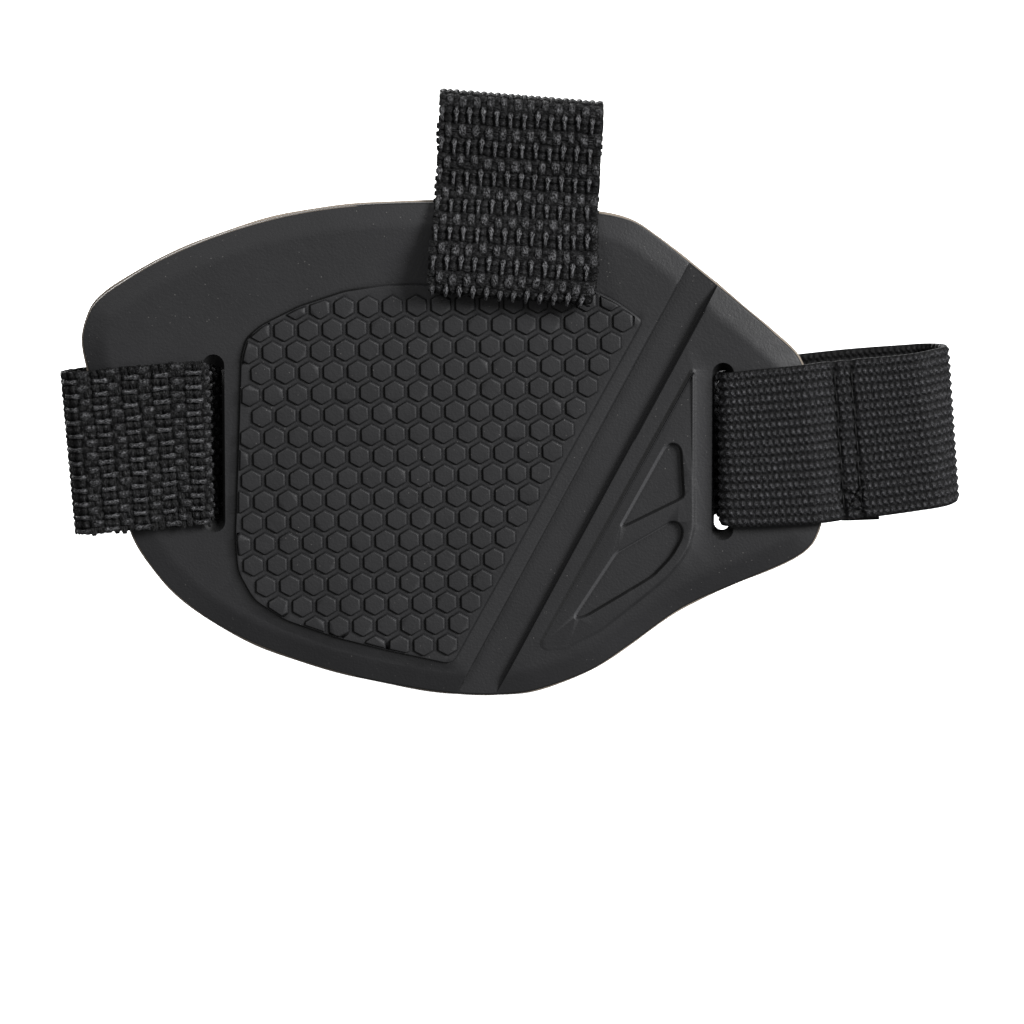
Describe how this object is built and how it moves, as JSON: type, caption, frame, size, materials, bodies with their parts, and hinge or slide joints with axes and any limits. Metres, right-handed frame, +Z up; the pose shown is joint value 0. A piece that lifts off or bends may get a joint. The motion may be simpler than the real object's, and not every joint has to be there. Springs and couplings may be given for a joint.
{
  "type": "boot gear-shift guard",
  "caption": "Moulded rubber pad with a honeycomb grip field, an elastic and webbing strap closed behind it with hook and loop tape, and a folding lace tab.",
  "frame": {"origin": "on the pad's rear face, the face that rests on the boot, near the pad's centre", "axes": "+Z up towards the lace tab, +X towards the elastic side, +Y from the pad into the boot"},
  "size_m": [0.1376, 0.0225, 0.0955],
  "materials": {
    "pad_rubber": "matte moulded rubber with a fine grain and a slight sheen",
    "black_webbing": "coarse woven polypropylene webbing with glossy yarns",
    "black_elastic": "ribbed knitted elastic",
    "loop_pile": "soft loop pile",
    "hook_plastic": "rows of fine nylon hooks",
    "black_thread": "twisted polyester thread"
  },
  "bodies": {
    "shield": {"shield_pad": "pad_rubber", "elastic_bar_wrap": "black_elastic", "elastic_turn": "black_elastic", "bar_seam_inner": "black_thread", "bar_seam_outer": "black_thread", "webbing_slot_pass": "black_webbing", "webbing_bar_cover": "black_webbing", "webbing_fold": "black_webbing", "tab_bar_wrap": "black_webbing", "tab_bend": "black_webbing"},
    "back_run": {"elastic_back_run": "black_elastic", "joint_seam_inner": "black_thread", "joint_seam_outer": "black_thread", "webbing_back_run": "black_webbing", "loop_tape": "loop_pile", "loop_tape_seam_top": "black_thread", "loop_tape_seam_bottom": "black_thread"},
    "hook_end": {"webbing_hook_end": "black_webbing", "hook_tape": "hook_plastic", "hook_tape_seam_top": "black_thread", "hook_tape_seam_bottom": "black_thread"},
    "tab": {"tab_front_layer": "black_webbing", "tab_rear_layer": "black_webbing", "tab_loop_patch": "loop_pile", "tab_seam_low": "black_thread", "tab_seam_high": "black_thread", "tab_top_fold": "black_webbing"},
    "flap": {"tab_flap": "black_webbing", "tab_hook_patch": "hook_plastic"}
  },
  "joints": [
    {"name": "strap_stretch", "type": "slide", "parent": "shield", "child": "back_run", "axis": [0, 1, 0], "range_m": [0, 0.02], "stiffness_N_per_m": 150, "deforming": ["elastic_turn", "webbing_slot_pass", "webbing_fold"]},
    {"name": "hook_peel", "type": "hinge", "parent": "back_run", "child": "hook_end", "pos_m": [-0.0548, 0.0015, 0], "axis": [0, 0, 1], "range_deg": [0, 150]},
    {"name": "tab_swing", "type": "hinge", "parent": "shield", "child": "tab", "pos_m": [0.011, 0, 0.04016], "axis": [0.9968, 0, -0.0802], "range_deg": [0, 75], "deforming": ["tab_bend"]},
    {"name": "flap_peel", "type": "hinge", "parent": "tab", "child": "flap", "pos_m": [0.01194, 0.00198, 0.05182], "axis": [0.9968, 0, -0.0802], "range_deg": [0, 170], "deforming": ["tab_top_fold"]}
  ]
}
